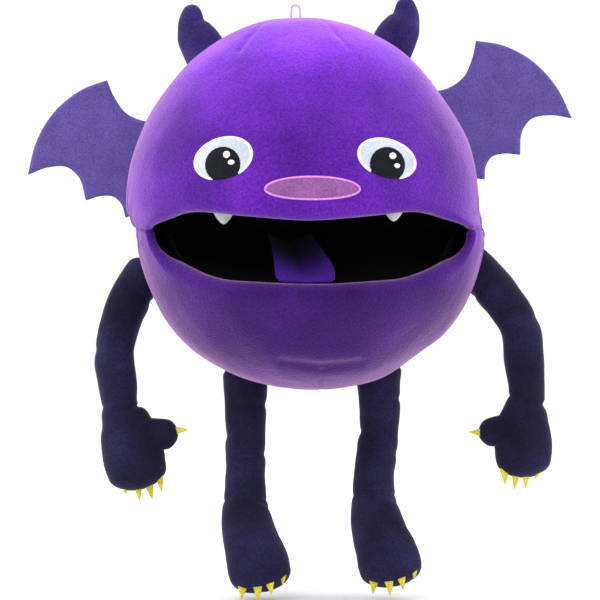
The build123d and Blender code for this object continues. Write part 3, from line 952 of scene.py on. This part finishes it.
def edge_gap(u, v, outline):
    start = outline
    run = np.roll(outline, -1, axis=0) - start
    spot = np.array([u, v]) - start
    share = np.clip((spot * run).sum(1) / (run * run).sum(1), 0, 1)
    return float(np.linalg.norm(spot - share[:, None] * run, axis=1).min())


def leaf(half_w, length, power, points):
    """The outline of a pointed tooth or claw, its tip at the origin and its root below."""
    shares = np.linspace(0, 1, points)
    sides = [(half_w * share ** power, -length * share) for share in shares]
    return sides + [(-u, v) for u, v in sides[:0:-1]]


FANG = (8.0 * MM, 11.0 * MM)
FANG_DROP = {"left": 6.4 * MM, "right": 5.2 * MM}


def fang(name):
    """A leaf shaped felt tooth hanging behind the upper lip."""
    low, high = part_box(f"fang_{name}")
    middle = (low.x + high.x) / 2
    lip = UPPER_GRID[-8]
    nearest = lip[np.argmin(np.abs(lip[:, 0] - middle) + 10 * (lip[:, 1] > CENTRE.y))]
    tip = nearest[2] - FANG_DROP[name]
    half_w, length = FANG
    outline = [(u, -length - v) for u, v in leaf(half_w, length, 0.62, 22)]
    back = nearest[1] + 5.5 * MM

    def place(u, v, w):
        return Vector((middle + u, back + w + abs(u) * 0.25, tip + length + v))

    tooth = plate(f"fang_felt_{name}", outline, 1.8 * MM, place, FANG_FELT, bulge=0.3 * MM)
    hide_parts(f"fang_{name}")
    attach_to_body(tooth, "head")


FELT_T = 2.0 * MM
TONGUE_LEVEL = -2.0 * MM
TONGUE_EXTRA = 4 * MM
TONGUE_SKEW = -10 * MM


def tongue():
    """A felt tongue, curled up along its sides, skewed towards one corner at its root."""
    forward = Vector((0, -cos(LOWER_LIP), -sin(LOWER_LIP)))
    up = Vector((0, -sin(LOWER_LIP), cos(LOWER_LIP)))
    low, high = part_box("tongue")
    half = (high.x - low.x) / 2
    start = (HINGE.y - high.y) / cos(LOWER_LIP)
    length = (high.y - low.y) / cos(LOWER_LIP) + TONGUE_EXTRA
    layers = []
    for lift in (1, -1):
        rows = []
        for share in np.linspace(0, 1, 60):
            corner = np.clip((share - 0.8) / 0.2, 0, 1)
            width = half * (0.84 + 0.16 * share) * sqrt(1 - 0.3 * corner ** 5)
            centre_x = TONGUE_SKEW * (1 - share) ** 1.1
            row = []
            for across in np.linspace(-1, 1, 49):
                curl = (4.5 + 2 * share) * MM * abs(across) ** 2.2 * (1 - 0.8 * corner)
                dip = -1.6 * MM * bell(across, 0.2) * (1 - share ** 3)
                edge = 1 - 0.5 * abs(across) ** 12
                height = TONGUE_LEVEL + curl + dip + lift * FELT_T / 2 * edge
                inward = 1 - 0.16 * abs(across) ** 3 * (1 - share)
                spot = HINGE + forward * (start + length * share) + up * height
                row.append((centre_x + across * width * inward, spot.y, spot.z))
            rows.append(row)
        layers.append(np.array(rows))
    top, under = layers
    closed = np.concatenate([top, under[:, ::-1]], axis=1)
    piece = grid_piece("tongue_sheet", closed, TONGUE_FELT, caps=(True, True))
    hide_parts("tongue")
    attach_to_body(piece, "tongue")


# ---------------------------------------------------------------- horns, loop and wings

# inward from the horn's outer side, down from its top, and radius
HORN_LINE = (
    (19.5, 34.0, 13.2),
    (15.5, 26.0, 12.8),
    (11.3, 17.6, 11.0),
    (9.5, 12.0, 8.3),
    (9.8, 6.4, 6.2),
    (11.2, 1.2, 4.4),
)


def horn(name, side):
    """A stuffed horn, leaning out and curling back in at its tip."""
    low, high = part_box(f"horn_{name}")
    outer = low.x if side < 0 else high.x
    depth = (low.y + high.y) / 2
    stations = []
    for inward, down, radius in HORN_LINE:
        place = Vector((outer - side * inward * MM, depth, high.z - down * MM))
        stations.append(station(place, radius, radius * 0.95))
    rings, outward, _, angles = loft(stations, 72, 0.9 * MM, (0, 4 * MM))
    swell = 0.5 * MM * noise_of(rings, 12 * MM, 1.4 + side)
    seam = bell((angles - pi / 2) * 9, 1.0)[None] + bell((angles - 3 * pi / 2) * 9, 1.0)[None]
    rings = rings + outward * (swell - 0.5 * MM * seam)[..., None]
    piece = grid_piece(f"horn_plush_{name}", rings, HORN_PLUSH, caps=(True, True))
    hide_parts(f"horn_{name}", f"horn_stuffing_{name}")
    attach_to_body(piece, "head")


PLY_PITCH = 3.4 * MM


def hanging_loop():
    """A loop of two-ply cord standing on the crown."""
    low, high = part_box("hanging_loop")
    radius = (high.y - low.y) / 2
    middle_x = (low.x + high.x) / 2
    bow = (high.x - low.x) / 2 - radius
    top = high.z - radius - bow
    line = [(middle_x - bow, 0, low.z - 3 * MM)]
    for turn in np.linspace(pi, 0, 9):
        line.append((middle_x + bow * cos(turn), 0, top + bow * sin(turn)))
    line.append((middle_x + bow, 0, low.z - 3 * MM))
    path = through(line, count=150)[:, :3]
    ahead = np.gradient(path, axis=0)
    ahead /= np.linalg.norm(ahead, axis=1, keepdims=True)
    aside = np.cross(ahead, (0, 1, 0))
    run = np.concatenate([[0], np.cumsum(np.linalg.norm(np.diff(path, axis=0), axis=1))])

    def wound(turn):
        return aside[:, None] * np.cos(turn)[..., None] + np.array([0, 1, 0]) * np.sin(turn)[..., None]

    ply_r = radius * 0.56
    around = np.linspace(0, 2 * pi, 12, endpoint=False)[None]
    points = []
    faces = []
    for ply in (0, pi):
        core = path[:, None] + ply_r * 0.8 * wound(run[:, None] * 2 * pi / PLY_PITCH + ply)
        core[..., 1] += (low.y + high.y) / 2
        start = len(points)
        points += (core + ply_r * wound(around)).reshape(-1, 3).tolist()
        faces += [tuple(i + start for i in face) for face in grid_faces(len(path), 12)]
    piece = mesh_piece("loop_cord_bow", points, faces, LOOP_CORD)
    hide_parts("hanging_loop")
    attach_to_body(piece, "loop")


# outward from the hinge line and up it, in millimetres
WING_CORNERS = ((0.0, 29.0), (40.0, 46.0), (73.5, -22.2), (35.6, -29.4), (9.4, -34.2), (0.0, -29.0))
WING_BETWEEN = (
    ((13.0, 26.6), (24.0, 29.0), (32.8, 36.4)),
    ((53.0, 37.2), (65.8, 21.0), (73.2, -2.0)),
    ((62.2, -14.8), (51.0, -12.2), (43.6, -16.0)),
    ((26.3, -24.4), (19.3, -23.4), (13.9, -26.6)),
    ((4.0, -31.0),),
)


def wing(name, side):
    """A wing cut from one sheet of felt, its points as sharp as the cut."""
    pivot = joint(f"{name}_wing_fold")
    up = joint_axis(f"{name}_wing_fold")
    up = up * (1 if up.z > 0 else -1)
    out = Vector((up.z, 0, -up.x)) * side
    if out.x * side < 0:
        out = -out
    outline = []
    for number, between in enumerate(WING_BETWEEN):
        start = WING_CORNERS[number]
        end = WING_CORNERS[number + 1]
        line = through([(*p, 0) for p in (start, *between, end)], count=26 if len(between) > 1 else 6)
        outline += [(u * MM, v * MM) for u, v, _ in line[:-1]]
    outline.append(tuple(part * MM for part in WING_CORNERS[-1]))
    outline = [(u - 2.0 * MM, v) if u < 0.1 * MM else (u, v) for u, v in outline]

    def place(u, v, w):
        bend = 0.0016 * sin(u * 40) + 0.0012 * sin(v * 55 + side) * min(u / 0.04, 1)
        lift = -0.004 * (max(u, 0) / 0.07) ** 2
        return pivot + out * u + up * v + Vector((0, w + bend + lift, 0))

    piece = plate(f"wing_sheet_{name}", outline, FELT_T, place, WING_FELT, step=2.0 * MM)
    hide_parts(f"wing_{name}")
    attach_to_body(piece, f"{name}_wing")


# ---------------------------------------------------------------- limbs


LIMB_COLUMNS = 72
FRONT_SEAM = 1.5 * pi


def stuffed_limb(name, side, stations, dome, cuts, creases):
    """Meshes of one stuffed limb, cut between its joints, with the normals of the whole.

    cuts are lengths along the limb; creases are (length, turn, depth, width)."""
    around = LIMB_COLUMNS
    rings, outward, lengths, angles = loft(stations, around, 1.1 * MM, (8 * MM, dome), squareness=2.15)
    lumps = 0.55 * MM * noise_of(rings, 17 * MM, 4.2 * side) + 0.3 * MM * noise_of(rings, 8 * MM, 9.1)
    for where, turn, depth, width in creases:
        facing = np.clip(0.45 + 0.55 * np.cos(angles - turn), 0, 1)[None]
        gap = lengths[:, None] - where
        lumps = lumps + depth * facing * (0.4 * bell(gap - 3 * width, 2 * width) - bell(gap, width))
    offset = np.abs((angles - FRONT_SEAM + pi) % (2 * pi) - pi)
    pucker = 1 + 0.3 * np.sin(lengths / (2.1 * MM))[:, None]
    lumps = lumps - 0.6 * MM * bell(offset * 11 * MM, 1.2 * MM)[None] * pucker
    rings = rings + outward * lumps[..., None]
    whole = grid_piece(f"{name}_whole", rings, LIMB_PLUSH, caps=(True, True))
    normals = np.array([tuple(v.normal) for v in whole.data.vertices])
    bpy.data.objects.remove(whole)
    edges = [0] + [int(np.argmin(np.abs(lengths - cut))) for cut in cuts] + [len(lengths) - 1]
    pieces = []
    for number, (first, last) in enumerate(zip(edges[:-1], edges[1:])):
        caps = (number == 0, number == len(edges) - 2)
        part = grid_piece(f"{name}_{number + 1}", rings[first:last + 1], LIMB_PLUSH, caps=caps)
        own = normals[first * around:(last + 1) * around].tolist()
        if caps[0]:
            own.append(normals[len(lengths) * around].tolist())
        if caps[1]:
            own.append(normals[-1].tolist())
        part.data.normals_split_custom_set_from_vertices(own)
        pieces.append(part)
    return pieces


def blend_at(piece):
    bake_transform(piece)


MITT_SCALE = {"left": 1.08, "right": 1.0}
MITT_ROLL = {"left": radians(12), "right": 0.0}
ARM_BULGE = {"left": 1.6 * MM, "right": 3.6 * MM}
ARM_ROOT_UP = {"left": 12, "right": 16}
ARM_TOP = {"left": (1.8, 0, -1.5), "right": (1.5, 0, 3.0)}
# towards the thumb and down from the wrist, half width and half depth
MITT_LINE = ((1.2, 8, 14.4, 11), (1.8, 20, 17.2, 12.6), (1.6, 33, 17, 12.4), (1.4, 45.5, 14, 10))
THUMB_LINE = (
    (0, 17.5, 12.0, 10.5),
    (9, 16.5, 9.6, 10.4),
    (17, 17.0, 8.4, 9.2),
    (24, 18.6, 7.6, 8.2),
    (28.6, 19.8, 6.6, 7.2),
)


def limb_length(stations, number):
    return total_length(stations[:number + 1])


def arm(name, side):
    """A stuffed arm and its thumbed mitt."""
    shoulder = joint(f"{name}_arm_swing")
    elbow = joint(f"{name}_elbow_bend")
    wrist = joint(f"{name}_wrist_bend")
    root = shoulder + Vector((-side * 10, 3, ARM_ROOT_UP[name])) * MM
    roll = MITT_ROLL[name]
    scale = MITT_SCALE[name]
    over_way = Vector((-side * cos(roll), 0, sin(roll))) * scale * MM
    drop_way = Vector((-side * sin(roll), 0, -cos(roll))) * scale * MM

    def hand(line):
        places = [wrist + over_way * over + drop_way * drop for over, drop, _, _ in line]
        return [station(place, wide * scale, deep * scale) for place, (_, _, wide, deep) in zip(places, line)]

    bulge = Vector((side, 0, 0)) * ARM_BULGE[name]
    stations = [
        station(root, 10.5, 10.5),
        station(shoulder + Vector(ARM_TOP[name]) * MM, 12.6, 12),
        station((shoulder + elbow) / 2 + bulge, 12.4, 11.8),
        station(elbow, 11.9, 11.4),
        station((elbow + wrist) / 2 + bulge * 0.3, 12.1, 11.0),
        station(wrist, 11.6, 10.6),
        *hand(MITT_LINE),
    ]
    at_wrist = limb_length(stations, 5)
    creases = (
        (at_wrist, 0.0, 1.6 * MM, 1.6 * MM),
        (at_wrist - 4 * MM, pi, 0.9 * MM, 1.6 * MM),
        (limb_length(stations, 3), pi if side < 0 else 0.0, 0.8 * MM, 2.6 * MM),
        (limb_length(stations, 1) + 7 * MM, pi if side > 0 else 0.0, 0.9 * MM, 2.4 * MM),
    )
    cuts = (limb_length(stations, 2), limb_length(stations, 4))
    upper, middle, mitt = stuffed_limb(f"arm_{name}", side, stations, 9 * MM, cuts, creases)
    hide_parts(f"shoulder_{name}", f"upper_arm_{name}")
    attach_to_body(upper, f"{name}_upper_arm")
    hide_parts(f"forearm_{name}")
    blend_at(middle)
    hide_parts(f"mitt_{name}")
    blend_at(mitt)
    rings, outward, _, _ = loft(hand(THUMB_LINE), 56, 1.0 * MM, (3 * MM, 7 * MM), side=(0, 1, 0))
    rings = rings + outward * 0.4 * MM * noise_of(rings, 10 * MM, 6.6)[..., None]
    thumb = grid_piece(f"thumb_{name}", rings, LIMB_PLUSH, caps=(True, True))
    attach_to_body(thumb, f"{name}_hand")


FOOT_AXIS = Vector((0.185, -0.565, -0.804)).normalized()
FOOT_REACH = 52 * MM
# share of the foot's reach, to the right, half width and half depth
FOOT_LINE = (
    (0.27, -1.8, 15.2, 14.0),
    (0.55, -1.4, 16.8, 15.6),
    (0.86, 0.0, 18.8, 15.8),
    (1.18, 0.0, 17.4, 12.8),
)
LEG_BULGE = {"left": 0.0, "right": 1.6 * MM}


def leg(name, side):
    """A stuffed leg and its foot, toes forward and down."""
    hip = joint(f"{name}_hip_swing")
    knee = joint(f"{name}_knee_bend")
    ankle = joint(f"{name}_ankle_bend")
    aside = Vector((LEG_BULGE[name], 0, 0))
    stations = [
        station(hip + Vector((0, -2, 16)) * MM, 14.2, 13.5),
        station(hip, 13.2, 12.8),
        station((hip + knee) / 2 + aside, 12.2, 11.9),
        station(knee + aside, 12.2, 12.0),
        station((knee + ankle) / 2, 12.3, 12.1),
        station(ankle, 13.2, 12.9),
    ]
    for share, over, wide, deep in FOOT_LINE:
        place = ankle + FOOT_AXIS * FOOT_REACH * share + Vector((over, 0, 0)) * MM
        stations.append(station(place, wide, deep))
    at_knee = limb_length(stations, 3)
    at_ankle = limb_length(stations, 5)
    creases = (
        (at_ankle, 1.5 * pi, 1.5 * MM, 1.8 * MM),
        (at_ankle + 7 * MM, 1.75 * pi, 0.9 * MM, 2.0 * MM),
        (at_knee - 6 * MM, 1.2 * pi, 0.9 * MM, 2.4 * MM),
        (at_knee + 5 * MM, 1.7 * pi, 0.8 * MM, 2.4 * MM),
        (limb_length(stations, 1) + 9 * MM, 0.2 * pi, 0.9 * MM, 2.2 * MM),
    )
    cuts = (limb_length(stations, 2), limb_length(stations, 4))
    thigh, shin, foot = stuffed_limb(f"leg_{name}", side, stations, 10 * MM, cuts, creases)
    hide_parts(f"thigh_{name}")
    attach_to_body(thigh, f"{name}_thigh")
    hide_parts(f"shin_{name}")
    blend_at(shin)
    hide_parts(f"foot_{name}")
    blend_at(foot)


def islands(node):
    """The points of each separate solid of a CAD node."""
    work = bmesh.new()
    work.from_mesh(frame["nodes"][node].data)
    bmesh.ops.remove_doubles(work, verts=work.verts, dist=1e-6)
    left = set(work.verts)
    found = []
    while left:
        start = left.pop()
        group = [start]
        stack = [start]
        while stack:
            for edge in stack.pop().link_edges:
                for vertex in edge.verts:
                    if vertex in left:
                        left.discard(vertex)
                        group.append(vertex)
                        stack.append(vertex)
        found.append(np.array(sorted(tuple(v.co) for v in group)))
    work.free()
    return sorted(found, key=lambda points: points[:, 0].mean())


def claws(node, body, away, width, length, further):
    """Felt claws, one small triangle on each CAD claw, points outwards."""
    away = Vector(away).normalized()
    for number, points in enumerate(islands(node)):
        reach = points @ np.array(away)
        tip = Vector(points[np.argmax(reach)])
        base = Vector(points[reach < np.percentile(reach, 25)].mean(axis=0))
        line = (tip - base).normalized()
        across = line.cross(Vector((0, -1, 0))).normalized()
        thick = across.cross(line).normalized()
        half = width / 2 * (1, 0.86, 0.93, 0.8)[number % 4]
        outline = leaf(half, length, 0.85, 12)

        def place(u, v, w):
            hook = 0.8 * MM * (v / length) * (1 + v / length)
            return tip + across * (u + hook) + line * (v + further) + thick * w

        piece = plate(f"{node}_{number + 1}", outline, 1.6 * MM, place, CLAW_FELT, step=0.8 * MM)
        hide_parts(node)
        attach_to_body(piece, body)


# ---------------------------------------------------------------- stage


def stage():
    floor_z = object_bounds()[0].z - 0.5 * MM
    half = 12.0
    corners = [(-half, -half, floor_z), (half, -half, floor_z), (half, half, floor_z), (-half, half, floor_z)]
    paint = Paint("floor", 0.9)
    colour = paint.ramp(paint.grain(0.4, 2), [(0.3, (0.9, 0.9, 0.9, 1)), (0.7, (0.93, 0.93, 0.93, 1))])
    floor = mesh_piece("floor", corners, [(0, 1, 2, 3)], paint.finish(colour))
    floor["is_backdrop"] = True
    world = bpy.data.worlds.new("studio")
    world.use_nodes = True
    scene.world = world
    background = world.node_tree.nodes["Background"]
    background.inputs["Color"].default_value = (1, 1, 1, 1)
    background.inputs["Strength"].default_value = 1.1
    scene.view_settings.view_transform = "Standard"
    lamp("key", (-0.5, -1.0, 1.3), 0.9, 9)
    lamp("top", (0.1, 0.3, 1.4), 0.9, 9)
    lamp("side_left", (-1.2, 0.1, 0.5), 0.8, 7)
    lamp("side_right", (1.2, -0.1, 0.4), 0.8, 5)


def lamp(name, place, size, power):
    light = bpy.data.lights.new(name, "AREA")
    light.size = size
    light.energy = power
    holder = bpy.data.objects.new(name, light)
    holder.location = CENTRE + Vector(place)
    holder.rotation_euler = (-Vector(place)).to_track_quat("-Z", "Y").to_euler()
    scene.collection.objects.link(holder)


def camera():
    lens = bpy.data.cameras.new("camera")
    lens.lens = 150
    lens.sensor_width = 36
    holder = bpy.data.objects.new("camera", lens)
    holder.location = (CENTRE.x - 3.6 * MM, CENTRE.y - 1.5, CENTRE.z - 57.8 * MM)
    holder.rotation_euler = (pi / 2, 0, 0)
    scene.collection.objects.link(holder)
    scene.camera = holder


# ---------------------------------------------------------------- the puppet

# width, length and reach past the CAD claw's tip
HAND_CLAW = (6.4 * MM, 10.5 * MM, 4.0 * MM)
THUMB_CLAW = (5.6 * MM, 9.0 * MM, 1.0 * MM)
TOE_CLAW = (7.2 * MM, 11.0 * MM, 0.5 * MM)

face = Face(body_skins())
mouth_cloths()
cavity_bag()
pocket("finger_sleeve", "finger_pocket", "head")
pocket("thumb_sleeve", "thumb_pocket", "jaw")
cuff()
nose(face)
tongue()
hanging_loop()
for name, side in SIDES.items():
    eye(face, name, side)
    fang(name)
    horn(name, side)
    wing(name, side)
    arm(name, side)
    leg(name, side)
    claws(f"finger_claws_{name}", f"{name}_hand", (0, 0, -1), *HAND_CLAW)
    claws(f"thumb_claw_{name}", f"{name}_hand", (-side, 0, 0), *THUMB_CLAW)
    claws(f"toe_claws_{name}", f"{name}_foot", (0.1, -0.5, -0.85), *TOE_CLAW)
stage()
camera()
